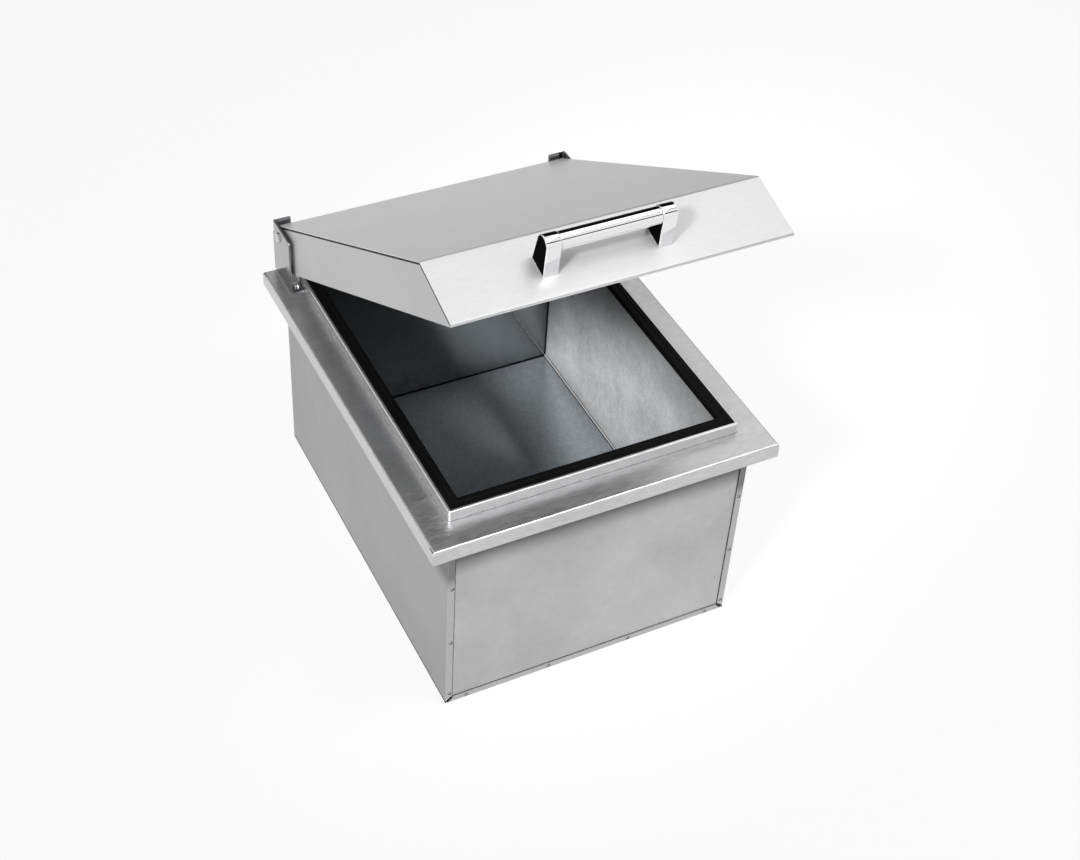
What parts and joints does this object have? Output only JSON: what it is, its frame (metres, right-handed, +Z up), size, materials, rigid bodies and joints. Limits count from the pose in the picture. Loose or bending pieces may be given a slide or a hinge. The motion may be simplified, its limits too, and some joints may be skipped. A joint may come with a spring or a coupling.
{
  "type": "drop-in cooler",
  "caption": "Drop-in insulated cooler: stainless tub in a folded casing, hung by its deck, with a hinged insulated lid and a chrome handle.",
  "frame": {"origin": "centre of the casing's underside, below the middle of the deck", "axes": "+Z up out of the tub, -Y towards the front where the lid opens, +X to the right"},
  "size_m": [0.381, 0.464, 0.5564],
  "materials": {
    "deck_steel": "satin",
    "casing_steel": "satin",
    "tub_steel": "satin",
    "lid_steel": "satin",
    "bracket_steel": "polished",
    "fastener_steel": "gloss",
    "bar_chrome": "polished",
    "post_chrome": "polished",
    "gasket_rubber": "satin",
    "seal_rubber": "matte",
    "drain_steel": "gloss",
    "locknut_brass": "satin",
    "washer_plastic": "matte",
    "bush_plastic": "matte",
    "insulation_board": "matte"
  },
  "bodies": {
    "cooler": {"top_deck": "deck_steel", "deck_collar": "deck_steel", "lid_gasket": "gasket_rubber", "inner_tub": "tub_steel", "left_tub_wall": "tub_steel", "right_tub_wall": "tub_steel", "front_insulation": "insulation_board", "back_insulation": "insulation_board", "left_insulation": "insulation_board", "right_insulation": "insulation_board", "floor_insulation": "insulation_board", "left_side_panel": "casing_steel", "right_side_panel": "casing_steel", "front_panel": "casing_steel", "back_panel": "casing_steel", "bottom_pan": "casing_steel", "drain_fitting": "drain_steel", "drain_strainer": "drain_steel", "drain_seal": "seal_rubber", "drain_locknut": "locknut_brass", "left_hinge_bracket": "bracket_steel", "right_hinge_bracket": "bracket_steel", "bracket_screws": "fastener_steel", "pivot_screws": "fastener_steel", "pivot_washers": "washer_plastic", "pivot_nuts": "fastener_steel"},
    "lid": {"pivot_bushes": "bush_plastic", "lid_skin": "lid_steel", "left_lid_cheek": "lid_steel", "right_lid_cheek": "lid_steel", "lid_liner": "lid_steel", "lid_insulation": "insulation_board", "handle_bar": "bar_chrome", "left_handle_post": "post_chrome", "right_handle_post": "post_chrome", "handle_screws": "fastener_steel"}
  },
  "joints": [
    {"name": "lid_hinge", "type": "hinge", "parent": "cooler", "child": "lid", "pos_m": [0, 0.2145, 0.3045], "axis": [-1, 0, 0], "range_deg": [-30, 72]}
  ]
}
